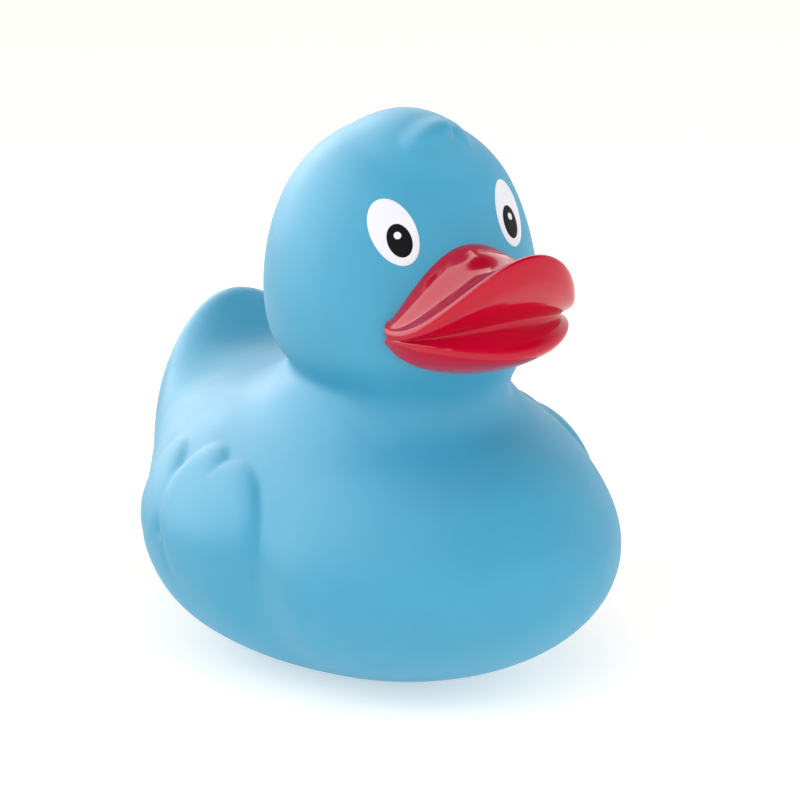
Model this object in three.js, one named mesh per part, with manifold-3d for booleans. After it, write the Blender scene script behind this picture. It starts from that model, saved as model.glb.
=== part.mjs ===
// A squeaking soft-vinyl bath duck, in millimetres.
// +Z is up and the duck faces -Y. The origin is on the floor, under the middle of the duck's box.
// The duck is one hollow moulding with paint films on it and a small squeaker pressed into its base.
import * as THREE from "three";
import { mergeVertices } from "three/addons/utils/BufferGeometryUtils.js";
import Module from "manifold-3d";

const wasm = await Module();
wasm.setup();

// ---------------------------------------------------------------- driving dimensions

const WALL = 2.2; // wall of the moulding
const GAP = 0.3; // clearance between neighbouring pieces
const FILM = 0.3; // thickness of an ink film
const SKIN_CELL = 4.0; // facet size of the outer skin
const CAVITY_CELL = 5.5; // facet size of the hollow inside
const DUCK_BOX = { low: [-46, -54, -8], high: [46, 60, 98] }; // encloses the whole moulding
const MARGIN = 1; // how far a cutting tool runs past the face that it opens

// Rounded forms that melt into each other. Each has its centre, its half-width in X,
// and its reach towards the front (-Y), the back (+Y), down and up.
const BELLY = { y: 4.6, z: 21.7, side: 36.8, front: 51.8, back: 31.5, down: 23.8, up: 22.5 };
const SHOULDERS = { y: -0.2, z: 29.7, side: 23.5, front: 30.2, back: 40.6, down: 12.6, up: 12.6 };
const TAIL = { y: 37.0, z: 30.0, side: 14.7, front: 5.5, back: 5.5, down: 10.0, up: 21.6, leanDeg: 20.2 };
const NECK = { y: -4.8, z: 45.5, side: 16.7, front: 16.3, back: 15.5, down: 11.8, up: 11.8 };
const SKULL = { y: -6.9, z: 68.8, side: 21.0, front: 18.5, back: 19.9, down: 22.9, up: 21.8 };
const CHEEKS = { y: -9.6, z: 57.5, side: 17.7, front: 20.8, back: 23.8, down: 8.4, up: 14.5 };
const CREST = { y: -10.2, z: 85.5, side: 8.0, front: 9.0, back: 10.0, down: 6.0, up: 6.4 };

const TORSO_BLEND = 16;
const NECK_BLEND = 10;
const CHEEK_BLEND = 12;
const HEAD_BLEND = { back: 2, front: 8.5, from: -11, to: -24 }; // a crease behind, a soft valley before
const CREST_BLEND = 3;
const BASE_BLEND = 1.2;
const BASE_SINK = 0.6; // the rounded underside dips this far below the flat it is trimmed to

// A wing is a raised pad on the flank, made of overlapping feather lobes seen from the side.
// Each lobe has a crisp foot, a rounded shoulder and its own height.
const WING_LOBES = [
  { y: -4.7, z: 26.0, alongY: 10.5, alongZ: 11.8, height: 1.35 },
  { y: 2.2, z: 30.5, alongY: 6.4, alongZ: 8.4, height: 1.3 },
  { y: 12.8, z: 28.5, alongY: 6.0, alongZ: 8.6, height: 1.0 },
  { y: 11.3, z: 19.5, alongY: 6.0, alongZ: 6.0, height: 0.8 },
];
const WING_SHOULDER = 2.8; // width of a lobe's rounded edge
const WING_FADE = { from: 15, to: 28 }; // heights between which a wing grows out of the flank
const FLANK = { from: 12, to: 20 }; // distance from the middle where the flank begins
const HOLLOW = { y: -14.1, z: 18.3, alongY: 6.5, alongZ: 9.5, depth: 2.3 }; // dimple before the wing

// The bill is skinned over lines that sweep from one corner of the mouth, round the tip, to the
// other corner. At angle t from the tip a line is at x = side sin t, y = back - reach cos t,
// z = height + rise cos t + arch cos^2 t.
const BILL_LINES = [
  { name: "crown root", side: 9.5, back: -23.2, reach: -1.5, height: 63.0, rise: -2.6, arch: 11.6 },
  { name: "crown", side: 13.6, back: -24.4, reach: 1.7, height: 64.0, rise: -3.2, arch: 13.2 },
  { name: "brow", side: 14.8, back: -25.4, reach: 4.6, height: 63.9, rise: -2.2, arch: 11.8 },
  { name: "dish", side: 15.4, back: -26.0, reach: 10.5, height: 63.5, rise: -3.9, arch: 12.6 },
  { name: "rim", side: 15.7, back: -26.4, reach: 17.4, height: 63.0, rise: -3.2, arch: 16.4 },
  { name: "lip", side: 15.8, back: -26.6, reach: 17.3, height: 62.5, rise: -3.2, arch: 13.3 },
  { name: "lip fold", side: 15.7, back: -26.6, reach: 15.1, height: 62.0, rise: -1.4, arch: 8.0 },
  { name: "mouth", side: 15.5, back: -26.5, reach: 14.2, height: 61.6, rise: -0.4, arch: 6.0 },
  { name: "tongue", side: 15.4, back: -26.3, reach: 12.5, height: 61.2, rise: 1.4, arch: 1.6 },
  { name: "ridge", side: 15.4, back: -26.0, reach: 16.6, height: 60.7, rise: 3.6, arch: -3.9 },
  { name: "jaw", side: 14.9, back: -25.2, reach: 13.7, height: 60.1, rise: -1.6, arch: -1.0 },
  { name: "chin", side: 13.8, back: -24.4, reach: 5.8, height: 59.6, rise: -5.4, arch: 0.5 },
  { name: "chin root", side: 9.5, back: -23.2, reach: 2.0, height: 60.2, rise: -4.4, arch: 0.6 },
];
// The line that runs through the flesh of the bill. Inner faces are drawn in towards it.
const BILL_HEART = { side: 11.8, back: -25.4, reach: 8.0, height: 62.0, rise: -0.7, arch: 4.6 };
const BILL_SECTIONS = 18;
const BILL_END = { inwards: 4, back: 5.5 }; // how far a corner of the bill runs on into the head
const PAINT_INNER_SCALE = 0.95; // the paint film's inner face
const BILL_CORE_SCALE = 0.86; // the moulded bill under the paint
const BILL_CAVITY_SCALE = 0.6; // the hollow inside the moulded bill
const PAINT_EDGE_GAP = 0.75; // clearance between the paint's edge and the head
const CHIN_CLIP = 46; // the paint is trimmed to the head and neck above this height
const HEAD_BOX = { low: [-28, -36, 40], high: [28, 22, 98] }; // encloses the head above the clip
const BILL_CURVE_STEPS = 2; // points of a section from one line to the next

// An eye is three nested ovals of ink that lean outwards at the top.
const EYE = { x: 10.9, y: -21.6, z: 76.6 };
const EYE_WHITE = { across: 3.6, along: 5.7, leanDeg: 27, towardsBill: 0, up: 0 };
const EYE_PUPIL = { across: 1.95, along: 2.75, leanDeg: 20, towardsBill: 0.95, up: -1.4 };
const EYE_GLINT = { across: 0.62, along: 0.62, leanDeg: 0, towardsBill: 0.62, up: -0.6 };
const EYE_STEPS = 28;

// The squeaker, on the vertical axis through the middle of the base.
const HOLE_RADIUS = 8.0;
const RECESS = { radius: 11.6, depth: 1.8 };
const BOSS = { radius: 14.5, height: 4.0 }; // the base is thicker round the hole
const FLANGE = { radius: 10.8, bottom: 0.6, top: 1.5 };
const GROOVE_RADIUS = 7.7;
const BARB = { radius: 9.3, bottom: 4.3, top: 5.8, end: 8.0 };
const BARREL = { radius: 6.6, top: 17.0 };
const BORE = { radius: 5.2, bottom: 3.4 };
const SOUND_HOLE_RADIUS = 2.4;
const SEAT = { radius: 4.9, bottom: 3.7, top: 15.2, faceX: 0.9 };
const CHANNEL = { width: 2.6, depth: 2.2, top: 10.6 };
const REED = { width: 4.4, thickness: 0.4, bottom: 5.0, top: 14.9 };
const WEDGE = { bottom: 11.9, top: 15.2 };
const CAP = { radius: 6.6, bottom: 17.3, top: 18.5, spigotRadius: 4.9, spigotBottom: 15.6 };
const CAP_HOLE = { radius: 1.1, circle: 2.9, count: 4 };
const ROUND_STEPS = 40;

const DEG = Math.PI / 180;
const SLOPE_STEP = 0.05; // half the distance over which a field's slope is measured
const SETTLE_PASSES = 4;
const SETTLE_SHARE = 0.3; // the most that one pass moves a point, as a share of its cell
const EYE_SETTLE = 2;

// ---------------------------------------------------------------- solids

function toManifold(geometry) {
  const bare = geometry.clone();
  bare.deleteAttribute("normal");
  bare.deleteAttribute("uv");
  const merged = mergeVertices(bare, 1e-5);
  const mesh = new wasm.Mesh({
    numProp: 3,
    vertProperties: new Float32Array(merged.attributes.position.array),
    triVerts: new Uint32Array(merged.index.array),
  });
  return new wasm.Manifold(mesh);
}

function toGeometry(solid) {
  const mesh = solid.getMesh();
  const geometry = new THREE.BufferGeometry();
  const positions = new THREE.BufferAttribute(new Float32Array(mesh.vertProperties), 3);
  geometry.setAttribute("position", positions);
  geometry.setIndex(new THREE.BufferAttribute(new Uint32Array(mesh.triVerts), 1));
  geometry.computeVertexNormals();
  return geometry;
}

// A geometry from [x, y, z] points and the points that each triangle joins.
function facetted(points, triangles) {
  const geometry = new THREE.BufferGeometry();
  const positions = new THREE.BufferAttribute(new Float32Array(points.flat()), 3);
  geometry.setAttribute("position", positions);
  geometry.setIndex(triangles);
  return geometry;
}

function largestBody(solid) {
  const bodies = solid.decompose();
  bodies.sort((a, b) => b.volume() - a.volume());
  return bodies[0];
}

// A solid of revolution about the vertical axis, from [radius, height] points.
function turned(profile) {
  const points = profile.map(([radius, height]) => new THREE.Vector2(radius, height));
  const geometry = new THREE.LatheGeometry(points, ROUND_STEPS);
  geometry.rotateX(Math.PI / 2);
  return orientOutwards(geometry);
}

function signedVolume(geometry) {
  const position = geometry.attributes.position;
  const index = geometry.index;
  const [a, b, c] = [new THREE.Vector3(), new THREE.Vector3(), new THREE.Vector3()];
  let total = 0;
  for (let i = 0; i < index.count; i += 3) {
    a.fromBufferAttribute(position, index.getX(i));
    b.fromBufferAttribute(position, index.getX(i + 1));
    c.fromBufferAttribute(position, index.getX(i + 2));
    total += a.dot(b.cross(c)) / 6;
  }
  return total;
}

function orientOutwards(geometry) {
  if (signedVolume(geometry) > 0) return toManifold(geometry);
  const index = geometry.index;
  for (let i = 0; i < index.count; i += 3) {
    const second = index.getX(i + 1);
    index.setX(i + 1, index.getX(i + 2));
    index.setX(i + 2, second);
  }
  return toManifold(geometry);
}

function disc(radius, bottom, top, x = 0, y = 0) {
  const geometry = new THREE.CylinderGeometry(radius, radius, top - bottom, ROUND_STEPS);
  geometry.rotateX(Math.PI / 2);
  geometry.translate(x, y, (bottom + top) / 2);
  return toManifold(geometry);
}

function block(low, high) {
  const size = high.map((value, k) => value - low[k]);
  const geometry = new THREE.BoxGeometry(...size);
  geometry.translate(...high.map((value, k) => (value + low[k]) / 2));
  return toManifold(geometry);
}

// ---------------------------------------------------------------- rounded forms as fields
// A field is negative inside the form, zero on its skin and roughly the distance away from it.

function smoothMin(a, b, blend) {
  const overlap = Math.max(blend - Math.abs(a - b), 0) / blend;
  return Math.min(a, b) - overlap * overlap * blend * 0.25;
}

function smoothMax(a, b, blend) {
  return -smoothMin(-a, -b, blend);
}

function smoothStep(from, to, value) {
  const share = Math.min(Math.max((value - from) / (to - from), 0), 1);
  return share * share * (3 - 2 * share);
}

function ovoid(form, x, y, z) {
  let alongY = y - form.y;
  let alongZ = z - form.z;
  if (form.leanDeg) {
    const cosine = Math.cos(form.leanDeg * DEG);
    const sine = Math.sin(form.leanDeg * DEG);
    [alongY, alongZ] = [cosine * alongY - sine * alongZ, sine * alongY + cosine * alongZ];
  }
  const reachY = alongY < 0 ? form.front : form.back;
  const reachZ = alongZ < 0 ? form.down : form.up;
  const scaled = Math.hypot(x / form.side, alongY / reachY, alongZ / reachZ);
  const slope = Math.hypot(x / form.side ** 2, alongY / reachY ** 2, alongZ / reachZ ** 2);
  return (scaled * (scaled - 1)) / Math.max(slope, 1e-9);
}

function lobeHeight(lobe, y, z) {
  const alongY = y - lobe.y;
  const alongZ = z - lobe.z;
  const scaled = Math.hypot(alongY / lobe.alongY, alongZ / lobe.alongZ);
  const slope = Math.hypot(alongY / lobe.alongY ** 2, alongZ / lobe.alongZ ** 2);
  const inside = (scaled * (1 - scaled)) / Math.max(slope, 1e-9);
  if (inside <= 0 && scaled > 1) return 0;
  const share = scaled < 1e-6 ? 1 : Math.min(inside / WING_SHOULDER, 1);
  return lobe.height * Math.sqrt(1 - (1 - share) ** 2);
}

function wingHeight(x, y, z) {
  const pad = Math.max(...WING_LOBES.map((lobe) => lobeHeight(lobe, y, z)));
  const faded = pad * smoothStep(WING_FADE.from, WING_FADE.to, z);
  return faded * smoothStep(FLANK.from, FLANK.to, Math.abs(x));
}

function hollowDepth(x, y, z) {
  const offset = Math.hypot((y - HOLLOW.y) / HOLLOW.alongY, (z - HOLLOW.z) / HOLLOW.alongZ);
  return HOLLOW.depth * Math.exp(-offset * offset) * smoothStep(FLANK.from, FLANK.to, Math.abs(x));
}

function headField(x, y, z) {
  const ball = smoothMin(ovoid(SKULL, x, y, z), ovoid(CHEEKS, x, y, z), CHEEK_BLEND);
  return smoothMin(ball, ovoid(CREST, x, y, z), CREST_BLEND);
}

function torsoField(x, y, z) {
  const trunk = smoothMin(ovoid(BELLY, x, y, z), ovoid(SHOULDERS, x, y, z), TORSO_BLEND);
  const tailed = smoothMin(trunk, ovoid(TAIL, x, y, z), TORSO_BLEND);
  const necked = smoothMin(tailed, ovoid(NECK, x, y, z), NECK_BLEND);
  return smoothMax(necked, -BASE_SINK - z, BASE_BLEND);
}

// The duck without its wings.
function bareDuckField(x, y, z) {
  const share = smoothStep(HEAD_BLEND.from, HEAD_BLEND.to, y);
  const blend = HEAD_BLEND.back + share * (HEAD_BLEND.front - HEAD_BLEND.back);
  return smoothMin(torsoField(x, y, z), headField(x, y, z), blend) + hollowDepth(x, y, z);
}

function duckField(x, y, z) {
  return bareDuckField(x, y, z) - wingHeight(x, y, z);
}

function slopeOf(field, point) {
  const step = SLOPE_STEP;
  const [x, y, z] = point;
  return new THREE.Vector3(
    field(x + step, y, z) - field(x - step, y, z),
    field(x, y + step, z) - field(x, y - step, z),
    field(x, y, z + step) - field(x, y, z - step),
  ).divideScalar(2 * step);
}

// Moves a point along the field's slope until it lies on the skin.
function settle(field, point, reach) {
  let [x, y, z] = point;
  for (let pass = 0; pass < SETTLE_PASSES; pass += 1) {
    const slope = slopeOf(field, [x, y, z]);
    const steepness = Math.max(slope.lengthSq(), SLOPE_STEP);
    const travel = Math.min(Math.max(field(x, y, z) / steepness, -reach), reach);
    x -= slope.x * travel;
    y -= slope.y * travel;
    z -= slope.z * travel;
  }
  return [x, y, z];
}

const CELL_CORNERS = [0, 1, 2, 3, 4, 5, 6, 7].map((n) => [n & 1, (n >> 1) & 1, n >> 2]);

// The closed skin of a field inside a box: one point in each cell that the skin crosses, and one
// four-sided facet round each grid edge that it crosses.
function skinOf(field, low, high, cell) {
  const counts = low.map((value, k) => Math.ceil((high[k] - value) / cell) + 1);
  const [nx, ny, nz] = counts;
  const corner = (i, j, k) => (k * ny + j) * nx + i;
  const place = (i, j, k) => [low[0] + i * cell, low[1] + j * cell, low[2] + k * cell];
  const values = new Float64Array(nx * ny * nz);
  for (let k = 0; k < nz; k += 1) {
    for (let j = 0; j < ny; j += 1) {
      for (let i = 0; i < nx; i += 1) values[corner(i, j, k)] = field(...place(i, j, k));
    }
  }
  const points = [];
  const pointOf = new Map();
  const cornersOf = (i, j, k) => CELL_CORNERS.map(([di, dj, dk]) => [i + di, j + dj, k + dk]);
  for (let k = 0; k < nz - 1; k += 1) {
    for (let j = 0; j < ny - 1; j += 1) {
      for (let i = 0; i < nx - 1; i += 1) {
        const point = cellPoint(cornersOf(i, j, k), values, corner, place);
        if (!point) continue;
        pointOf.set(corner(i, j, k), points.length);
        points.push(settle(field, point, cell * SETTLE_SHARE));
      }
    }
  }
  const triangles = [];
  const addFacet = (cells, flip) => {
    const [a, b, c, d] = cells.map(([i, j, k]) => pointOf.get(corner(i, j, k)));
    const order = flip ? [a, d, c, b] : [a, b, c, d];
    triangles.push(order[0], order[1], order[2], order[0], order[2], order[3]);
  };
  for (let k = 1; k < nz - 1; k += 1) {
    for (let j = 1; j < ny - 1; j += 1) {
      for (let i = 1; i < nx - 1; i += 1) {
        const here = values[corner(i, j, k)] < 0;
        const nextX = values[corner(i + 1, j, k)] < 0;
        const nextY = values[corner(i, j + 1, k)] < 0;
        const nextZ = values[corner(i, j, k + 1)] < 0;
        const [a, b, c] = [i - 1, j - 1, k - 1];
        if (here !== nextX) addFacet([[i, b, c], [i, j, c], [i, j, k], [i, b, k]], nextX);
        if (here !== nextY) addFacet([[a, j, c], [a, j, k], [i, j, k], [i, j, c]], nextY);
        if (here !== nextZ) addFacet([[a, b, k], [i, b, k], [i, j, k], [a, j, k]], nextZ);
      }
    }
  }
  return orientOutwards(facetted(points, triangles));
}

// The mean of the places where the skin crosses the edges of one cell, or null if none does.
function cellPoint(corners, values, corner, place) {
  const sum = [0, 0, 0];
  let crossings = 0;
  for (let a = 0; a < 8; a += 1) {
    for (const bit of [1, 2, 4]) {
      const b = a | bit;
      if (b === a) continue;
      const [va, vb] = [values[corner(...corners[a])], values[corner(...corners[b])]];
      if (va < 0 === vb < 0) continue;
      const share = va / (va - vb);
      const [pa, pb] = [place(...corners[a]), place(...corners[b])];
      for (let axis = 0; axis < 3; axis += 1) sum[axis] += pa[axis] + share * (pb[axis] - pa[axis]);
      crossings += 1;
    }
  }
  return crossings ? sum.map((value) => value / crossings) : null;
}

// ---------------------------------------------------------------- bill

function billPoint(line, angle) {
  const cosine = Math.cos(angle);
  return new THREE.Vector3(
    line.side * Math.sin(angle),
    line.back - line.reach * cosine,
    line.height + line.rise * cosine + line.arch * cosine * cosine,
  );
}

// One closed section of the bill, with a smooth curve through its lines.
function billSection(angle) {
  const corners = BILL_LINES.map((line) => billPoint(line, angle));
  const curve = new THREE.CatmullRomCurve3(corners, false, "centripetal");
  return curve.getPoints((corners.length - 1) * BILL_CURVE_STEPS);
}

// The bill as a closed solid, with each section drawn in towards the heart line by scale.
function billSolid(scale) {
  const rings = [];
  const hearts = [];
  for (let n = 0; n <= BILL_SECTIONS; n += 1) {
    const angle = (n / BILL_SECTIONS - 0.5) * Math.PI;
    rings.push(billSection(angle));
    hearts.push(billPoint(BILL_HEART, angle));
  }
  const runOn = (point) => {
    const inwards = -Math.sign(point.x) * BILL_END.inwards;
    return point.clone().add(new THREE.Vector3(inwards, BILL_END.back, 0));
  };
  rings.unshift(rings[0].map(runOn));
  rings.push(rings[rings.length - 1].map(runOn));
  hearts.unshift(runOn(hearts[0]));
  hearts.push(runOn(hearts[hearts.length - 1]));
  const points = rings.flatMap((ring, n) => ring.map((p) => hearts[n].clone().lerp(p, scale)));
  const size = rings[0].length;
  const triangles = [];
  for (let n = 0; n < rings.length - 1; n += 1) {
    for (let m = 0; m < size; m += 1) {
      const next = (m + 1) % size;
      const [a, b] = [n * size + m, n * size + next];
      const [c, d] = [b + size, a + size];
      triangles.push(a, b, c, a, c, d);
    }
  }
  for (const [ring, flip] of [[0, true], [rings.length - 1, false]]) {
    points.push(hearts[ring]);
    for (let m = 0; m < size; m += 1) {
      const [a, b] = [ring * size + m, ring * size + ((m + 1) % size)];
      triangles.push(points.length - 1, flip ? b : a, flip ? a : b);
    }
  }
  return orientOutwards(facetted(points.map((point) => point.toArray()), triangles));
}

function billPaint() {
  const grown = (x, y, z) => Math.max(bareDuckField(x, y, z) - PAINT_EDGE_GAP, CHIN_CLIP - z);
  const head = skinOf(grown, HEAD_BOX.low, HEAD_BOX.high, SKIN_CELL);
  const core = billSolid(PAINT_INNER_SCALE).add(billSolid(BILL_CORE_SCALE));
  return toGeometry(largestBody(billSolid(1).subtract(core).subtract(head)));
}

// ---------------------------------------------------------------- body shell

function bodyShell() {
  const { low, high } = DUCK_BOX;
  const skin = skinOf(duckField, low, high, SKIN_CELL);
  const cavity = skinOf((x, y, z) => bareDuckField(x, y, z) + WALL, low, high, CAVITY_CELL);
  const boss = disc(BOSS.radius, low[2], BOSS.height);
  const hollow = cavity.subtract(boss).add(billSolid(BILL_CAVITY_SCALE));
  const underFloor = block(low, [high[0], high[1], 0]);
  const recess = disc(RECESS.radius, -MARGIN, RECESS.depth);
  const hole = disc(HOLE_RADIUS, -MARGIN, BOSS.height + MARGIN);
  const outside = skin.add(billSolid(BILL_CORE_SCALE)).subtract(underFloor);
  return toGeometry(largestBody(outside.subtract(hollow).subtract(recess).subtract(hole)));
}

// ---------------------------------------------------------------- eyes

// A film of ink: the oval outer outline, with the oval inner outline left open for the next ink.
function eyeFilm(side, outer, inner) {
  const centre = settle(headField, [side * EYE.x, EYE.y, EYE.z], EYE_SETTLE);
  const normal = slopeOf(headField, centre).normalize();
  const across = new THREE.Vector3(0, 0, 1).cross(normal).normalize();
  const towardsBill = across.clone().multiplyScalar(-side);
  const upwards = normal.clone().cross(across);
  const rim = (oval, grow, angle) => {
    const lean = oval.leanDeg * DEG;
    const [a, b] = [(oval.across + grow) * Math.cos(angle), (oval.along + grow) * Math.sin(angle)];
    const sideways = oval.towardsBill + a * Math.cos(lean) - b * Math.sin(lean);
    const height = oval.up + a * Math.sin(lean) + b * Math.cos(lean);
    const point = new THREE.Vector3(...centre).addScaledVector(towardsBill, sideways);
    return point.addScaledVector(upwards, height);
  };
  const lifted = (point, lift) => {
    const raised = (x, y, z) => headField(x, y, z) - lift;
    return settle(raised, point.toArray(), EYE_SETTLE);
  };
  const middleOf = (angle) => rim(outer, 0, angle).lerp(rim(outer, 0, angle + Math.PI), 0.5);
  const points = [];
  const rings = [];
  for (let n = 0; n < EYE_STEPS; n += 1) {
    const angle = (n / EYE_STEPS) * 2 * Math.PI;
    const edge = rim(outer, 0, angle);
    const heart = inner ? rim(inner, GAP, angle) : middleOf(angle);
    const middle = edge.clone().lerp(heart, 0.5);
    rings.push([edge, middle, heart].flatMap((p) => [lifted(p, GAP), lifted(p, GAP + FILM)]));
  }
  rings.forEach((ring) => points.push(...ring));
  const triangles = [];
  const quad = (a, b, c, d) => triangles.push(a, b, c, a, c, d);
  for (let n = 0; n < EYE_STEPS; n += 1) {
    const [here, next] = [n * 6, ((n + 1) % EYE_STEPS) * 6];
    quad(here, next, next + 1, here + 1);
    quad(here + 1, next + 1, next + 3, here + 3);
    quad(here + 3, next + 3, next + 5, here + 5);
    quad(next, here, here + 2, next + 2);
    quad(next + 2, here + 2, here + 4, next + 4);
    if (inner) quad(here + 5, next + 5, next + 4, here + 4);
  }
  return toGeometry(orientOutwards(facetted(points, triangles)));
}

// ---------------------------------------------------------------- squeaker

function squeakerHousing() {
  const body = turned([
    [0, FLANGE.bottom],
    [FLANGE.radius, FLANGE.bottom],
    [FLANGE.radius, FLANGE.top],
    [GROOVE_RADIUS, FLANGE.top],
    [GROOVE_RADIUS, BARB.bottom],
    [BARB.radius, BARB.bottom],
    [BARB.radius, BARB.top],
    [BARREL.radius, BARB.end],
    [BARREL.radius, BARREL.top],
    [BORE.radius, BARREL.top],
    [BORE.radius, BORE.bottom],
    [0, BORE.bottom],
  ]);
  const soundHole = disc(SOUND_HOLE_RADIUS, FLANGE.bottom - MARGIN, BORE.bottom + MARGIN);
  return toGeometry(body.subtract(soundHole));
}

// The seat fills the half of the bore behind the reed. A channel down its flat face leads the air
// from under the reed to the sound hole.
function reedSeat() {
  const plug = disc(SEAT.radius, SEAT.bottom, SEAT.top);
  const reach = SEAT.radius + MARGIN;
  const front = block([SEAT.faceX, -reach, SEAT.bottom - MARGIN], [reach, reach, SEAT.top + MARGIN]);
  const channelLow = [SEAT.faceX - CHANNEL.depth, -CHANNEL.width / 2, SEAT.bottom - MARGIN];
  const channelHigh = [SEAT.faceX + MARGIN, CHANNEL.width / 2, CHANNEL.top];
  return toGeometry(plug.subtract(front).subtract(block(channelLow, channelHigh)));
}

function reed() {
  const face = SEAT.faceX + GAP;
  const low = [face, -REED.width / 2, REED.bottom];
  const high = [face + REED.thickness, REED.width / 2, REED.top];
  return toGeometry(block(low, high));
}

// The wedge fills the other half of the bore above the free part of the reed and clamps its root.
function reedWedge() {
  const plug = disc(SEAT.radius, WEDGE.bottom, WEDGE.top);
  const reach = SEAT.radius + MARGIN;
  const face = SEAT.faceX + GAP + REED.thickness + GAP;
  const behind = block([-reach, -reach, WEDGE.bottom - MARGIN], [face, reach, WEDGE.top + MARGIN]);
  return toGeometry(plug.subtract(behind));
}

function squeakerCap() {
  const body = turned([
    [0, CAP.spigotBottom],
    [CAP.spigotRadius, CAP.spigotBottom],
    [CAP.spigotRadius, CAP.bottom],
    [CAP.radius, CAP.bottom],
    [CAP.radius, CAP.top],
    [0, CAP.top],
  ]);
  let cap = body;
  for (let n = 0; n < CAP_HOLE.count; n += 1) {
    const angle = ((n + 0.5) / CAP_HOLE.count) * 2 * Math.PI;
    const x = CAP_HOLE.circle * Math.cos(angle);
    const y = CAP_HOLE.circle * Math.sin(angle);
    cap = cap.subtract(disc(CAP_HOLE.radius, CAP.spigotBottom - MARGIN, CAP.top + MARGIN, x, y));
  }
  return toGeometry(cap);
}

// ---------------------------------------------------------------- materials and assembly

function finish(color, roughness, metalness = 0) {
  return new THREE.MeshStandardMaterial({ color, roughness, metalness });
}

const blueVinyl = () => finish(0x5fb1d8, 0.62);
const redGloss = () => finish(0xc8102e, 0.18);
const whiteInk = () => finish(0xf0f2f8, 0.4);
const blackInk = () => finish(0x15171a, 0.35);
const milkyPlastic = () => finish(0xe9ecec, 0.4);
const capPlastic = () => finish(0xdfe3e4, 0.45);
const brass = () => finish(0xc9a24a, 0.3, 1);

const duck = new THREE.Group();

function add(name, geometry, material) {
  const mesh = new THREE.Mesh(geometry, material);
  mesh.name = name;
  duck.add(mesh);
}

add("body_shell", bodyShell(), blueVinyl());
add("bill_paint", billPaint(), redGloss());
for (const [label, side] of [["right", -1], ["left", 1]]) {
  add(`eye_white_${label}`, eyeFilm(side, EYE_WHITE, EYE_PUPIL), whiteInk());
  add(`eye_pupil_${label}`, eyeFilm(side, EYE_PUPIL, EYE_GLINT), blackInk());
  add(`eye_glint_${label}`, eyeFilm(side, EYE_GLINT, null), whiteInk());
}
add("squeaker_housing", squeakerHousing(), milkyPlastic());
add("squeaker_reed_seat", reedSeat(), milkyPlastic());
add("squeaker_reed", reed(), brass());
add("squeaker_reed_wedge", reedWedge(), milkyPlastic());
add("squeaker_cap", squeakerCap(), capPlastic());

export default duck;
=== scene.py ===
import math

import bpy
import numpy as np
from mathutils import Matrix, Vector


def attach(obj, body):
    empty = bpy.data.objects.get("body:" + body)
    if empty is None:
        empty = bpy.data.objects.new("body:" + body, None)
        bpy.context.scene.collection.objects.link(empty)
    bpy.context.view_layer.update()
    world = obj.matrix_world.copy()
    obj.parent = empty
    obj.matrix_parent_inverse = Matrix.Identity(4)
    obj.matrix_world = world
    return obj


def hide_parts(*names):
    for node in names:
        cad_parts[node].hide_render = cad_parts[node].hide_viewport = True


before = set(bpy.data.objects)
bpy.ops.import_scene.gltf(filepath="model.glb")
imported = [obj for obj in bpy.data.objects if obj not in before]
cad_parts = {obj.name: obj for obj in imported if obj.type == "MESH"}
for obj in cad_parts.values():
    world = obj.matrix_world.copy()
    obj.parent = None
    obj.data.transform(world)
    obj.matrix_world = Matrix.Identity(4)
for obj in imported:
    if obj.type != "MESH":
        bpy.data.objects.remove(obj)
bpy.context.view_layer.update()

MM = 0.001

# ---------------------------------------------------------------- driving dimensions

WALL = 2.2  # wall of the moulding
SKIN_CELL = 0.8  # facet size of the moulding
SETTLE_SHARE = 0.4  # the furthest that one pass moves a point of the skin, as a share of its cell
DUCK_BOX = ((-44.0, -52.0, -3.0), (44.0, 52.0, 98.0))  # encloses the whole moulding

# Rounded forms that melt into each other. Each has its centre, its half-width in X,
# and its reach towards the front (-Y), the back (+Y), down and up.
BELLY = dict(y=4.6, z=21.7, side=36.8, front=51.8, back=31.5, down=23.8, up=22.5)
SHOULDERS = dict(y=-0.2, z=29.7, side=23.5, front=30.2, back=40.6, down=12.6, up=12.6)
TAIL = dict(y=37.0, z=30.0, side=14.7, front=5.5, back=5.5, down=10.0, up=21.6, lean=20.2)
NECK = dict(y=-4.8, z=45.5, side=16.7, front=16.3, back=15.5, down=11.8, up=11.8)
SKULL = dict(y=-6.9, z=68.8, side=21.0, front=18.5, back=19.9, down=22.9, up=21.8)
CHEEKS = dict(y=-9.6, z=57.5, side=17.7, front=20.8, back=23.8, down=8.4, up=14.5)
CREST = dict(y=-10.2, z=85.5, side=8.0, front=9.0, back=10.0, down=6.0, up=6.4)

# The tuft is two locks of feathers on the crest, seen from above. A lock rises from nothing near
# its root to its full height near the tip, where its foot is crisp. Turn is from -Y towards +X.
TUFT_LOCKS = [
    dict(x=-0.9, y=-14.8, along=4.5, across=5.0, turn=15.0, height=1.3),
    dict(x=4.2, y=-13.2, along=4.3, across=2.5, turn=40.0, height=0.5),
]
TUFT_SHOULDER = 1.0  # width of a lock's rounded edge
TUFT_RISE = (-0.4, 0.8)  # shares of a lock's length between which it rises
TUFT_FADE = (78.0, 83.0)  # heights between which the tuft starts

TORSO_BLEND = 16.0
NECK_BLEND = 10.0
CHEEK_BLEND = 12.0
HEAD_BLEND = dict(back=2.0, front=8.5, start=-11.0, end=-24.0)  # a crease behind, a soft valley before
CREST_BLEND = 3.0
BASE_BLEND = 1.2
BASE_SINK = 0.6  # the rounded underside dips this far below the flat it is trimmed to
EDGE_BLEND = 0.5  # rounding of the moulding's trimmed edges

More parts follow.
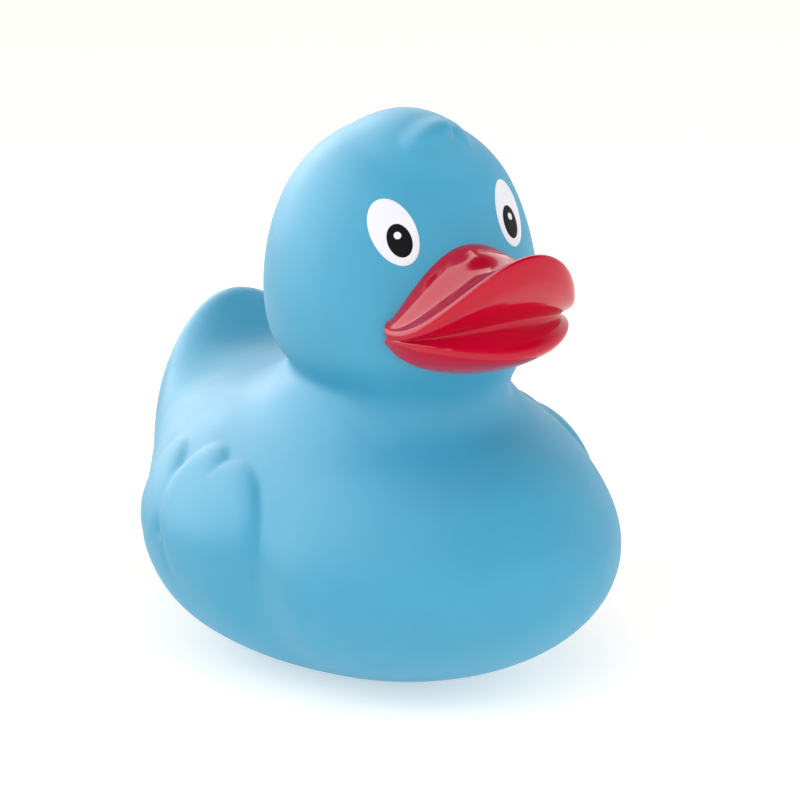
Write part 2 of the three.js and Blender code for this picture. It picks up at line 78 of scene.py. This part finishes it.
# A wing is a raised pad on the flank, made of overlapping feather lobes seen from the side.
# Each lobe has a crisp foot, a rounded shoulder and its own height.
WING_LOBES = [
    dict(y=-4.7, z=26.0, along_y=10.5, along_z=11.8, height=1.35),
    dict(y=2.2, z=30.5, along_y=6.4, along_z=8.4, height=1.3),
    dict(y=12.8, z=28.5, along_y=6.0, along_z=8.6, height=1.0),
    dict(y=11.3, z=19.5, along_y=6.0, along_z=6.0, height=0.8),
]
WING_SHOULDER = 2.8  # width of a lobe's rounded edge
WING_FADE = (15.0, 28.0)  # heights between which a wing grows out of the flank
FLANK = (12.0, 20.0)  # distance from the middle where the flank begins
HOLLOW = dict(y=-14.1, z=18.3, along_y=6.5, along_z=9.5, depth=2.3)  # dimple before the wing

# The bill is skinned over lines that sweep from one corner of the mouth, round the tip, to the
# other corner. At angle t from the tip a line is at x = side sin t, y = back - reach cos t,
# z = height + rise cos t + arch cos^2 t.
BILL_LINES = [  # side, back, reach, height, rise, arch
    (9.5, -23.2, -1.5, 63.0, -2.6, 11.6),  # crown root
    (13.6, -24.4, 1.7, 63.5, -1.0, 11.5),  # crown
    (14.8, -25.4, 4.6, 63.4, -0.6, 10.7),  # brow
    (15.4, -26.0, 10.5, 63.1, -1.6, 10.7),  # dish
    (15.7, -26.4, 17.4, 62.7, -1.6, 15.1),  # rim
    (15.8, -26.6, 17.3, 62.3, -2.0, 12.3),  # lip
    (15.7, -26.6, 15.1, 62.0, -1.4, 8.0),  # lip fold
    (15.5, -26.5, 14.2, 61.6, -0.4, 6.0),  # mouth
    (15.4, -26.3, 12.5, 61.2, 1.4, 1.6),  # tongue
    (15.4, -26.0, 16.6, 60.7, 3.6, -3.9),  # ridge
    (14.9, -25.2, 13.7, 60.1, -1.6, -1.0),  # jaw
    (13.8, -24.4, 5.8, 59.6, -5.4, 0.5),  # chin
    (9.5, -23.2, 2.0, 60.2, -4.4, 0.6),  # chin root
]
BILL_HEART = (11.8, -25.4, 8.0, 62.0, -0.7, 4.6)
BILL_SECTIONS = 150
BILL_CURVE_STEPS = 8
# Past each corner of the mouth the bill turns in and shrinks: inwards, back, share of its section.
BILL_ENDS = [(0.3, 0.7, 0.93), (1.0, 1.6, 0.8), (2.4, 3.2, 0.6), (4.5, 5.5, 0.4)]

# An eye is three nested ovals of ink that lean outwards at the top.
EYE = dict(x=10.9, y=-21.6, z=76.6)
EYE_WHITE = dict(across=3.6, along=5.7, lean=27.0, towards_bill=0.0, up=0.0)
EYE_PUPIL = dict(across=1.95, along=2.75, lean=20.0, towards_bill=0.95, up=-1.4)
EYE_GLINT = dict(across=0.62, along=0.62, lean=0.0, towards_bill=0.62, up=-0.6)
INK_LIFT = dict(white=0.09, pupil=0.15, glint=0.20)  # top of each ink above the vinyl
INK_EDGE = dict(white=0.25, pupil=0.12, glint=0.1)  # width of each ink's rounded edge
INK_SINK = 0.15  # how far an ink's foot runs into the vinyl
EYE_REACH = 2.0  # the furthest that a point of an eye moves in one pass to reach the head

# The squeaker, on the vertical axis through the middle of the base.
HOLE_RADIUS = 8.0
RECESS = dict(radius=11.6, depth=1.8)
BOSS = dict(radius=14.5, height=4.0)
FLANGE = dict(radius=10.8, bottom=0.6, top=1.5)
GROOVE_RADIUS = 7.7
BARB = dict(radius=9.3, bottom=4.3, top=5.8, end=8.0)
BARREL = dict(radius=6.6, top=17.0)
BORE = dict(radius=5.2, bottom=3.4)
SOUND_HOLE_RADIUS = 2.4
SOUND_HOLE_LIP = 0.4  # depth of the chamfer round the sound hole
HOUSING_EDGE = 0.25  # rounding of the housing's edges

# ---------------------------------------------------------------- fields
# A field is negative inside a form, zero on its skin and roughly the distance away from it.


def smooth_min(a, b, blend):
    overlap = np.maximum(blend - np.abs(a - b), 0.0) / blend
    return np.minimum(a, b) - overlap * overlap * blend * 0.25


def smooth_max(a, b, blend):
    return -smooth_min(-a, -b, blend)


def smooth_step(start, end, value):
    share = np.clip((value - start) / (end - start), 0.0, 1.0)
    return share * share * (3.0 - 2.0 * share)


def ovoid(form, p):
    x, y, z = p[..., 0], p[..., 1] - form["y"], p[..., 2] - form["z"]
    lean = math.radians(form.get("lean", 0.0))
    y, z = math.cos(lean) * y - math.sin(lean) * z, math.sin(lean) * y + math.cos(lean) * z
    reach_y = np.where(y < 0, form["front"], form["back"])
    reach_z = np.where(z < 0, form["down"], form["up"])
    scaled = np.sqrt((x / form["side"]) ** 2 + (y / reach_y) ** 2 + (z / reach_z) ** 2)
    slope = np.sqrt((x / form["side"] ** 2) ** 2 + (y / reach_y**2) ** 2 + (z / reach_z**2) ** 2)
    return scaled * (scaled - 1.0) / np.maximum(slope, 1e-9)


def lobe_height(lobe, y, z):
    y, z = y - lobe["y"], z - lobe["z"]
    scaled = np.hypot(y / lobe["along_y"], z / lobe["along_z"])
    slope = np.hypot(y / lobe["along_y"] ** 2, z / lobe["along_z"] ** 2)
    inside = scaled * (1.0 - scaled) / np.maximum(slope, 1e-9)
    share = np.where(scaled < 1e-6, 1.0, np.clip(inside / WING_SHOULDER, 0.0, 1.0))
    return lobe["height"] * np.sqrt(1.0 - (1.0 - share) ** 2)


def wing_height(p):
    pad = np.max([lobe_height(lobe, p[..., 1], p[..., 2]) for lobe in WING_LOBES], axis=0)
    return pad * smooth_step(*WING_FADE, p[..., 2]) * smooth_step(*FLANK, np.abs(p[..., 0]))


def tuft_height(p):
    """How far the tuft's locks stand off the crest."""
    heights = [np.zeros(p.shape[:-1])]
    for lock in TUFT_LOCKS:
        turn = math.radians(lock["turn"])
        x, y = p[..., 0] - lock["x"], p[..., 1] - lock["y"]
        along = math.sin(turn) * x - math.cos(turn) * y
        across = math.cos(turn) * x + math.sin(turn) * y
        scaled = np.hypot(along / lock["along"], across / lock["across"])
        inside = (1.0 - scaled) * min(lock["along"], lock["across"])
        share = np.clip(inside / TUFT_SHOULDER, 0.0, 1.0)
        rise = smooth_step(*TUFT_RISE, along / lock["along"])
        heights.append(lock["height"] * rise * np.sqrt(1.0 - (1.0 - share) ** 2))
    return np.max(heights, axis=0) * smooth_step(*TUFT_FADE, p[..., 2])


def hollow_depth(p):
    y = (p[..., 1] - HOLLOW["y"]) / HOLLOW["along_y"]
    z = (p[..., 2] - HOLLOW["z"]) / HOLLOW["along_z"]
    return HOLLOW["depth"] * np.exp(-(y * y + z * z)) * smooth_step(*FLANK, np.abs(p[..., 0]))


def head_field(p):
    ball = smooth_min(ovoid(SKULL, p), ovoid(CHEEKS, p), CHEEK_BLEND)
    return smooth_min(ball, ovoid(CREST, p), CREST_BLEND)


def torso_field(p):
    trunk = smooth_min(ovoid(BELLY, p), ovoid(SHOULDERS, p), TORSO_BLEND)
    tailed = smooth_min(trunk, ovoid(TAIL, p), TORSO_BLEND)
    necked = smooth_min(tailed, ovoid(NECK, p), NECK_BLEND)
    return smooth_max(necked, -BASE_SINK - p[..., 2], BASE_BLEND)


def bare_duck_field(p):
    """The duck without its wings."""
    share = smooth_step(HEAD_BLEND["start"], HEAD_BLEND["end"], p[..., 1])
    blend = HEAD_BLEND["back"] + share * (HEAD_BLEND["front"] - HEAD_BLEND["back"])
    return smooth_min(torso_field(p), head_field(p), blend) + hollow_depth(p)


def upright_disc(p, radius, top):
    return np.maximum(np.hypot(p[..., 0], p[..., 1]) - radius, p[..., 2] - top)


def moulding_field(p):
    """The hollow moulding, with the recess and the hole for the squeaker in its base."""
    bare = bare_duck_field(p)
    solid = smooth_max(bare - wing_height(p) - tuft_height(p), -p[..., 2], EDGE_BLEND)
    solid = smooth_max(solid, -upright_disc(p, RECESS["radius"], RECESS["depth"]), EDGE_BLEND)
    solid = smooth_max(solid, -upright_disc(p, HOLE_RADIUS, BOSS["height"] + WALL), EDGE_BLEND)
    boss = upright_disc(p, BOSS["radius"], BOSS["height"])
    hollow = smooth_max(bare + WALL, -boss, EDGE_BLEND)
    return smooth_max(solid, -hollow, EDGE_BLEND)


SLOPE_STEP = 0.04  # half the distance over which a field's slope is measured
LEAST_STEEPNESS = 0.05
SETTLE_PASSES = 5


def slope_of(field, p):
    slope = np.empty_like(p)
    for axis in range(3):
        shift = np.zeros(3)
        shift[axis] = SLOPE_STEP
        slope[..., axis] = (field(p + shift) - field(p - shift)) / (2.0 * SLOPE_STEP)
    return slope


def settle(field, p, reach):
    """Moves points along the field's slope until they lie on its skin."""
    for _ in range(SETTLE_PASSES):
        slope = slope_of(field, p)
        steepness = np.maximum((slope**2).sum(-1), LEAST_STEEPNESS)
        travel = np.clip(field(p) / steepness, -reach, reach)
        p = p - slope * travel[..., None]
    return p


# ---------------------------------------------------------------- meshes


def grid_values(field, axes):
    values = np.empty([len(axis) for axis in axes])
    for i, x in enumerate(axes[0]):
        plane = np.stack(np.meshgrid([x], axes[1], axes[2], indexing="ij"), -1)
        values[i] = field(plane)[0]
    return values


def skin_of(field, box, cell):
    """The closed skin of a field as points and four-sided facets: one point in each cell that the
    skin crosses, and one facet round each grid edge that it crosses."""
    axes = [np.arange(low, high + cell, cell) for low, high in zip(*box)]
    values = grid_values(field, axes)
    inside = values < 0
    cells = tuple(n - 1 for n in values.shape)
    total = np.zeros(cells + (3,))
    count = np.zeros(cells)
    crossings = []
    places = np.stack(np.meshgrid(*axes, indexing="ij"), -1)
    for axis in range(3):
        start = [slice(None)] * 3
        end = [slice(None)] * 3
        start[axis] = slice(0, -1)
        end[axis] = slice(1, None)
        start, end = tuple(start), tuple(end)
        crossed = inside[start] != inside[end]
        share = np.where(crossed, values[start] / np.where(crossed, values[start] - values[end], 1.0), 0.0)
        point = places[start].copy()
        point[..., axis] += share * cell
        point[~crossed] = 0.0
        others = [k for k in range(3) if k != axis]
        for da in (0, 1):
            for db in (0, 1):
                window = [slice(None)] * 3
                window[others[0]] = slice(da, da + cells[others[0]])
                window[others[1]] = slice(db, db + cells[others[1]])
                total += point[tuple(window)]
                count += crossed[tuple(window)]
        crossings.append((crossed, inside[start]))
    used = count > 0
    index = np.full(cells, -1)
    index[used] = np.arange(used.sum())
    points = settle(field, total[used] / count[used][:, None], cell * SETTLE_SHARE)
    facets = []
    for axis, (crossed, was_inside) in enumerate(crossings):
        i, j, k = np.nonzero(crossed)
        flip = ~was_inside[i, j, k]
        here = np.stack([i, j, k], -1)
        a, b = [other for other in range(3) if other != axis]
        ring = []
        for da, db in ((1, 1), (0, 1), (0, 0), (1, 0)):
            corner = here.copy()
            corner[:, a] -= da
            corner[:, b] -= db
            ring.append(index[corner[:, 0], corner[:, 1], corner[:, 2]])
        quad = np.stack(ring, -1)
        if axis == 1:
            flip = ~flip
        quad[flip] = quad[flip][:, ::-1]
        facets.append(quad)
    return points, np.concatenate(facets)


def make_piece(name, points, facets, material, replaced, slot, body="duck"):
    """A smooth mesh piece from points in millimetres, riding on a CAD body in place of its nodes."""
    mesh = bpy.data.meshes.new(name)
    points = np.asarray(points, float) * MM
    mesh.from_pydata(points.tolist(), [], [list(map(int, facet)) for facet in facets])
    mesh.validate()
    mesh.polygons.foreach_set("use_smooth", np.ones(len(mesh.polygons), bool))
    mesh.materials.append(material)
    piece = bpy.data.objects.new(name, mesh)
    bpy.context.scene.collection.objects.link(piece)
    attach(piece, body)
    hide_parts(*replaced)
    return piece


def band(first, second, count):
    """Facets that join two closed rings of points that start at the given indices."""
    step = np.arange(count)
    following = (step + 1) % count
    return np.stack([first + step, first + following, second + following, second + step], -1)


# ---------------------------------------------------------------- bill


def bill_points(line, angle):
    side, back, reach, height, rise, arch = line
    cosine = np.cos(angle)
    x = side * np.sin(angle)
    y = back - reach * cosine
    z = height + rise * cosine + arch * cosine**2
    return np.stack([x, y, z], -1)


def curve_through(corners, steps):
    """A centripetal Catmull-Rom curve through corners[..., n, 3], with even steps between them."""
    before = 2.0 * corners[..., :1, :] - corners[..., 1:2, :]
    after = 2.0 * corners[..., -1:, :] - corners[..., -2:-1, :]
    padded = np.concatenate([before, corners, after], axis=-2)
    gaps = np.sqrt(np.linalg.norm(np.diff(padded, axis=-2), axis=-1))
    pieces = []
    for n in range(corners.shape[-2] - 1):
        p0, p1, p2, p3 = (padded[..., n + m, :] for m in range(4))
        d0, d1, d2 = (gaps[..., n + m, None] for m in range(3))
        t1 = ((p1 - p0) / d0 - (p2 - p0) / (d0 + d1) + (p2 - p1) / d1) * d1
        t2 = ((p2 - p1) / d1 - (p3 - p1) / (d1 + d2) + (p3 - p2) / d2) * d1
        for step in range(steps):
            s = step / steps
            square = -3 * p1 + 3 * p2 - 2 * t1 - t2
            cube = 2 * p1 - 2 * p2 + t1 + t2
            pieces.append(p1 + t1 * s + square * s**2 + cube * s**3)
    pieces.append(corners[..., -1, :])
    return np.stack(pieces, axis=-2)


def bill_mesh():
    angle = np.linspace(-0.5, 0.5, BILL_SECTIONS + 1) * math.pi
    corners = np.stack([bill_points(line, angle) for line in BILL_LINES], axis=1)
    rings = curve_through(corners, BILL_CURVE_STEPS)
    hearts = bill_points(BILL_HEART, angle)
    first, last = [], []
    for inwards, back, share in BILL_ENDS:
        first.insert(0, hearts[0] + (rings[0] - hearts[0]) * share + [inwards, back, 0.0])
        last.append(hearts[-1] + (rings[-1] - hearts[-1]) * share + [-inwards, back, 0.0])
    rings = np.concatenate([first, rings, last])
    size = rings.shape[1]
    inwards, back, _ = BILL_ENDS[-1]
    ends = [hearts[0] + [inwards, back, 0.0], hearts[-1] + [-inwards, back, 0.0]]
    points = np.concatenate([rings.reshape(-1, 3), ends])
    facets = [band(n * size, (n + 1) * size, size) for n in range(len(rings) - 1)]
    quads = np.concatenate(facets).tolist()
    first_heart = len(points) - 2
    last = (len(rings) - 1) * size
    for m in range(size):
        following = (m + 1) % size
        quads.append([first_heart, following, m])
        quads.append([first_heart + 1, last + m, last + following])
    return points, quads


# ---------------------------------------------------------------- eyes


def eye_frame(side):
    centre = settle(head_field, np.array([[side * EYE["x"], EYE["y"], EYE["z"]]]), EYE_REACH)[0]
    normal = slope_of(head_field, centre[None])[0]
    normal /= np.linalg.norm(normal)
    across = np.cross([0.0, 0.0, 1.0], normal)
    across /= np.linalg.norm(across)
    return centre, normal, across, np.cross(normal, across)


def oval_rings(oval, side, scales, lifts, steps=96):
    """Closed rings on the head inside an oval, at each scale of the oval and lift off the vinyl."""
    centre, _, across, upwards = eye_frame(side)
    lean = math.radians(oval["lean"])
    angle = np.arange(steps) / steps * 2 * math.pi
    rings = []
    for scale, lift in zip(scales, lifts):
        a = oval["across"] * scale * np.cos(angle)
        b = oval["along"] * scale * np.sin(angle)
        sideways = oval["towards_bill"] + a * math.cos(lean) - b * math.sin(lean)
        height = oval["up"] + a * math.sin(lean) + b * math.cos(lean)
        ring = centre - side * sideways[:, None] * across + height[:, None] * upwards
        rings.append(settle(lambda p, lift=lift: head_field(p) - lift, ring, EYE_REACH))
    return rings


def ink_mesh(oval, side, top, edge):
    """A domed film of ink over an oval, sunk a little into the vinyl at its foot."""
    outer = min(oval["across"], oval["along"])
    rim = 1.0 - edge / outer
    scales = [0.04, 0.5, 0.8, rim, rim + (1 - rim) * 0.55, rim + (1 - rim) * 0.9, 1.0, 1.0, 0.8, 0.04]
    lifts = [top, top, top, top, top * 0.86, top * 0.45, 0.0, -0.1, -INK_SINK, -INK_SINK]
    rings = oval_rings(oval, side, scales, lifts)
    count = len(rings[0])
    points = np.concatenate(rings)
    facets = [band(n * count, (n + 1) * count, count) for n in range(len(rings) - 1)]
    quads = np.concatenate(facets).tolist()
    quads.append(list(range(count))[::-1])
    quads.append(list(range((len(rings) - 1) * count, len(rings) * count)))
    if side < 0:
        quads = [quad[::-1] for quad in quads]
    return points, quads


# ---------------------------------------------------------------- squeaker


def rounded(profile, radius, steps=4):
    """A [radius, height] profile with its inner corners rounded."""
    points = [profile[0]]
    for before, corner, after in zip(profile, profile[1:], profile[2:]):
        before, corner, after = (np.array(p, float) for p in (before, corner, after))
        back, on = before - corner, after - corner
        reach = min(radius, np.linalg.norm(back) * 0.45, np.linalg.norm(on) * 0.45)
        start = corner + back / np.linalg.norm(back) * reach
        end = corner + on / np.linalg.norm(on) * reach
        for step in range(steps + 1):
            s = step / steps
            points.append((1 - s) ** 2 * start + 2 * s * (1 - s) * corner + s**2 * end)
    points.append(profile[-1])
    return np.array(points, float)


def turned_mesh(profile, steps=96):
    """A closed solid of revolution from a closed [radius, height] loop, listed outside upwards."""
    angle = np.arange(steps) / steps * 2 * math.pi
    rings = [np.stack([r * np.cos(angle), r * np.sin(angle), np.full(steps, h)], -1) for r, h in profile]
    points = np.concatenate(rings)
    count = len(profile)
    facets = [band(n * steps, ((n + 1) % count) * steps, steps) for n in range(count)]
    return points, np.concatenate(facets).tolist()


def squeaker_housing_mesh():
    loop = [
        (SOUND_HOLE_RADIUS, FLANGE["bottom"]),
        (FLANGE["radius"], FLANGE["bottom"]),
        (FLANGE["radius"], FLANGE["top"]),
        (GROOVE_RADIUS, FLANGE["top"]),
        (GROOVE_RADIUS, BARB["bottom"]),
        (BARB["radius"], BARB["bottom"]),
        (BARB["radius"], BARB["top"]),
        (BARREL["radius"], BARB["end"]),
        (BARREL["radius"], BARREL["top"]),
        (BORE["radius"], BARREL["top"]),
        (BORE["radius"], BORE["bottom"]),
        (SOUND_HOLE_RADIUS, BORE["bottom"]),
        (SOUND_HOLE_RADIUS, FLANGE["bottom"] + SOUND_HOLE_LIP),
    ]
    return turned_mesh(rounded(loop, HOUSING_EDGE))


# ---------------------------------------------------------------- materials


def new_material(name, colour, roughness):
    material = bpy.data.materials.new(name)
    material.use_nodes = True
    shader = material.node_tree.nodes["Principled BSDF"]
    shader.inputs["Base Color"].default_value = (*colour, 1.0)
    shader.inputs["Roughness"].default_value = roughness
    return material, material.node_tree, shader


def add_noise(tree, scale, detail=3.0, roughness=0.5):
    """Noise over the object's own coordinates. Scale is in features per metre."""
    place = tree.nodes.new("ShaderNodeTexCoord")
    noise = tree.nodes.new("ShaderNodeTexNoise")
    noise.inputs["Scale"].default_value = scale
    noise.inputs["Detail"].default_value = detail
    noise.inputs["Roughness"].default_value = roughness
    tree.links.new(place.outputs["Object"], noise.inputs["Vector"])
    return noise.outputs["Fac"]


def ramp(tree, factor, stops):
    node = tree.nodes.new("ShaderNodeValToRGB")
    elements = node.color_ramp.elements
    for n, (position, value) in enumerate(stops):
        element = elements[n] if n < 2 else elements.new(position)
        element.position = position
        colour = value if isinstance(value, tuple) else (value, value, value)
        element.color = (*colour, 1.0)
    tree.links.new(factor, node.inputs["Fac"])
    return node.outputs["Color"]


def bump_from(tree, shader, height, distance, strength=1.0):
    bump = tree.nodes.new("ShaderNodeBump")
    bump.inputs["Distance"].default_value = distance
    bump.inputs["Strength"].default_value = strength
    tree.links.new(height, bump.inputs["Height"])
    tree.links.new(bump.outputs["Normal"], shader.inputs["Normal"])


def tinted(colour, gain):
    return tuple(min(channel * gain, 1.0) for channel in colour)


NOISE_SPAN = (0.3, 0.7)  # the part of the noise's range that a ramp spreads over
ROUGHNESS_PATCHES = 2.3  # patches of roughness to one patch of colour
GRAIN_DETAIL = 2.0


def mottled(name, colour, spread, patch, roughness, rough_spread, grain, depth):
    """A moulded plastic: colour in soft patches, roughness that wanders, and a fine surface grain."""
    material, tree, shader = new_material(name, colour, roughness)
    low_end, high_end = NOISE_SPAN
    stops = [(low_end, tinted(colour, 1.0 - spread)), (high_end, tinted(colour, 1.0 + spread))]
    patches = add_noise(tree, 1.0 / patch)
    tree.links.new(ramp(tree, patches, stops), shader.inputs["Base Color"])
    stops = [(low_end, roughness - rough_spread), (high_end, roughness + rough_spread)]
    patches = add_noise(tree, ROUGHNESS_PATCHES / patch)
    tree.links.new(ramp(tree, patches, stops), shader.inputs["Roughness"])
    bump_from(tree, shader, add_noise(tree, 1.0 / grain, GRAIN_DETAIL), depth)
    return material, shader


def blue_vinyl():
    material, shader = mottled(
        "blue_vinyl", (0.045, 0.325, 0.515), spread=0.025, patch=0.012,
        roughness=0.5, rough_spread=0.03, grain=0.0006, depth=0.00002,
    )
    shader.inputs["Subsurface Weight"].default_value = 0.12
    shader.inputs["Subsurface Radius"].default_value = (0.6, 1.0, 1.4)
    shader.inputs["Subsurface Scale"].default_value = 0.001
    return material


def red_gloss():
    material, shader = mottled(
        "red_gloss_paint", (0.46, 0.001, 0.022), spread=0.03, patch=0.01,
        roughness=0.11, rough_spread=0.02, grain=0.003, depth=0.00001,
    )
    shader.inputs["IOR"].default_value = 1.4
    return material


def white_ink():
    material, _ = mottled(
        "white_ink", (0.74, 0.76, 0.82), spread=0.015, patch=0.004,
        roughness=0.45, rough_spread=0.03, grain=0.0004, depth=0.00001,
    )
    return material


def black_ink():
    material, shader = mottled(
        "black_ink", (0.004, 0.004, 0.005), spread=0.1, patch=0.004,
        roughness=0.5, rough_spread=0.03, grain=0.0004, depth=0.00001,
    )
    shader.inputs["Specular IOR Level"].default_value = 0.12
    return material


def milky_plastic():
    material, _ = mottled(
        "milky_plastic", (0.78, 0.8, 0.8), spread=0.02, patch=0.006,
        roughness=0.36, rough_spread=0.04, grain=0.0007, depth=0.00002,
    )
    return material


def cap_plastic():
    material, _ = mottled(
        "cap_plastic", (0.7, 0.73, 0.75), spread=0.02, patch=0.006,
        roughness=0.42, rough_spread=0.04, grain=0.0007, depth=0.00002,
    )
    return material


def reed_brass():
    material, shader = mottled(
        "reed_brass", (0.72, 0.5, 0.2), spread=0.06, patch=0.003,
        roughness=0.28, rough_spread=0.06, grain=0.0002, depth=0.000005,
    )
    shader.inputs["Metallic"].default_value = 1.0
    return material


# ---------------------------------------------------------------- pieces


def dress_node(node, material):
    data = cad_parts[node].data
    data.materials.clear()
    data.materials.append(material)


def add_eye(label, side, white, black):
    inks = (("white", EYE_WHITE, white), ("pupil", EYE_PUPIL, black), ("glint", EYE_GLINT, white))
    for ink, oval, material in inks:
        mesh = ink_mesh(oval, side, INK_LIFT[ink], INK_EDGE[ink])
        slot = "black_ink" if material == black else "white_ink"
        make_piece(f"eye_{ink}_ink_{label}", *mesh, material, [f"eye_{ink}_{label}"], slot)


def add_pieces():
    white, black = white_ink(), black_ink()
    milky = milky_plastic()
    moulding = skin_of(moulding_field, DUCK_BOX, SKIN_CELL)
    make_piece("duck_moulding", *moulding, blue_vinyl(), ["body_shell"], "blue_vinyl")
    make_piece("bill_gloss", *bill_mesh(), red_gloss(), ["bill_paint"], "red_gloss_paint")
    add_eye("right", -1, white, black)
    add_eye("left", 1, white, black)
    make_piece("squeaker_body", *squeaker_housing_mesh(), milky, ["squeaker_housing"], "milky_plastic")
    dress_node("squeaker_reed_seat", milky)
    dress_node("squeaker_reed", reed_brass())
    dress_node("squeaker_reed_wedge", milky)
    dress_node("squeaker_cap", cap_plastic())


# ---------------------------------------------------------------- studio

CAMERA = dict(azimuth=-33.35, elevation=17.23, distance=0.7, lens=195.5, sensor=36.0)
CAMERA_TARGET = (0.0, -0.0042, 0.0435)
CAMERA_SHIFT = (0.012, -0.0034)

FLOOR = dict(size=8.0, colour=(0.92, 0.83, 0.76), roughness=0.6, glow=0.44, glow_colour=(1.0, 0.98, 0.96))
SKY = dict(white_to=0.35, dark_from=0.75, dark=0.02, strength=1.08)  # shades by the sine of elevation

# Softboxes: name, azimuth and elevation in degrees, distance, size, and radiance where white is 1.
LIGHTING_BOXES = [
    ("overhead", -40.0, 66.0, 1.3, (1.5, 1.5), 1.35),
    ("key", -88.0, 36.0, 0.8, (0.4, 0.5), 1.9),
    ("fill", 35.0, 30.0, 1.2, (1.2, 1.0), 1.0),
]
REFLECTED_BOXES = [  # seen only as reflections
    ("strip", -62.0, 42.0, 0.9, (0.06, 0.5), 4.0),
    ("veil", -150.0, 34.0, 0.9, (1.9, 1.3), 3.5),
    ("rim", 165.0, 26.0, 0.9, (1.2, 0.5), 1.6),
]


def direction(azimuth, elevation):
    """The unit vector that points from the duck towards a place in the studio."""
    a, e = math.radians(azimuth), math.radians(elevation)
    return Vector((math.sin(a) * math.cos(e), -math.cos(a) * math.cos(e), math.sin(e)))


def aim(obj, place, target):
    obj.location = place
    obj.rotation_euler = (Vector(place) - Vector(target)).to_track_quat("Z", "Y").to_euler()


def add_camera():
    data = bpy.data.cameras.new("camera")
    data.lens = CAMERA["lens"]
    data.sensor_width = CAMERA["sensor"]
    data.shift_x, data.shift_y = CAMERA_SHIFT
    camera = bpy.data.objects.new("camera", data)
    bpy.context.scene.collection.objects.link(camera)
    target = Vector(CAMERA_TARGET)
    aim(camera, target + direction(CAMERA["azimuth"], CAMERA["elevation"]) * CAMERA["distance"], target)
    bpy.context.scene.camera = camera


def add_softbox(name, azimuth, elevation, distance, size, radiance, reflected):
    """A soft rectangular lamp that faces the duck, for its diffuse light or only for reflections."""
    data = bpy.data.lights.new(name, "AREA")
    data.shape = "RECTANGLE"
    data.size, data.size_y = size
    data.energy = radiance * math.pi * size[0] * size[1]
    lamp = bpy.data.objects.new(name, data)
    lamp.visible_diffuse = not reflected
    lamp.visible_glossy = reflected
    bpy.context.scene.collection.objects.link(lamp)
    target = Vector(CAMERA_TARGET)
    aim(lamp, target + direction(azimuth, elevation) * distance, target)


def add_floor():
    bpy.ops.mesh.primitive_plane_add(size=FLOOR["size"], location=(0, 0, 0))
    floor = bpy.context.object
    floor.name = "floor"
    material, _, shader = new_material("floor", FLOOR["colour"], FLOOR["roughness"])
    shader.inputs["Specular IOR Level"].default_value = 0.0
    shader.inputs["Emission Color"].default_value = (*FLOOR["glow_colour"], 1.0)
    shader.inputs["Emission Strength"].default_value = FLOOR["glow"]
    floor.data.materials.append(material)


def add_world():
    """White all round the horizon, darker overhead."""
    world = bpy.data.worlds.new("studio")
    world.use_nodes = True
    tree = world.node_tree
    place = tree.nodes.new("ShaderNodeTexCoord")
    split = tree.nodes.new("ShaderNodeSeparateXYZ")
    tree.links.new(place.outputs["Generated"], split.inputs["Vector"])
    stops = [(SKY["white_to"], 1.0), (SKY["dark_from"], SKY["dark"])]
    shade = ramp(tree, split.outputs["Z"], stops)
    tree.links.new(shade, tree.nodes["Background"].inputs["Color"])
    tree.nodes["Background"].inputs["Strength"].default_value = SKY["strength"]
    bpy.context.scene.world = world


def add_studio():
    add_camera()
    add_floor()
    add_world()
    for box in LIGHTING_BOXES:
        add_softbox(*box, reflected=False)
    for box in REFLECTED_BOXES:
        add_softbox(*box, reflected=True)
    bpy.context.scene.view_settings.view_transform = "Standard"


add_pieces()
add_studio()
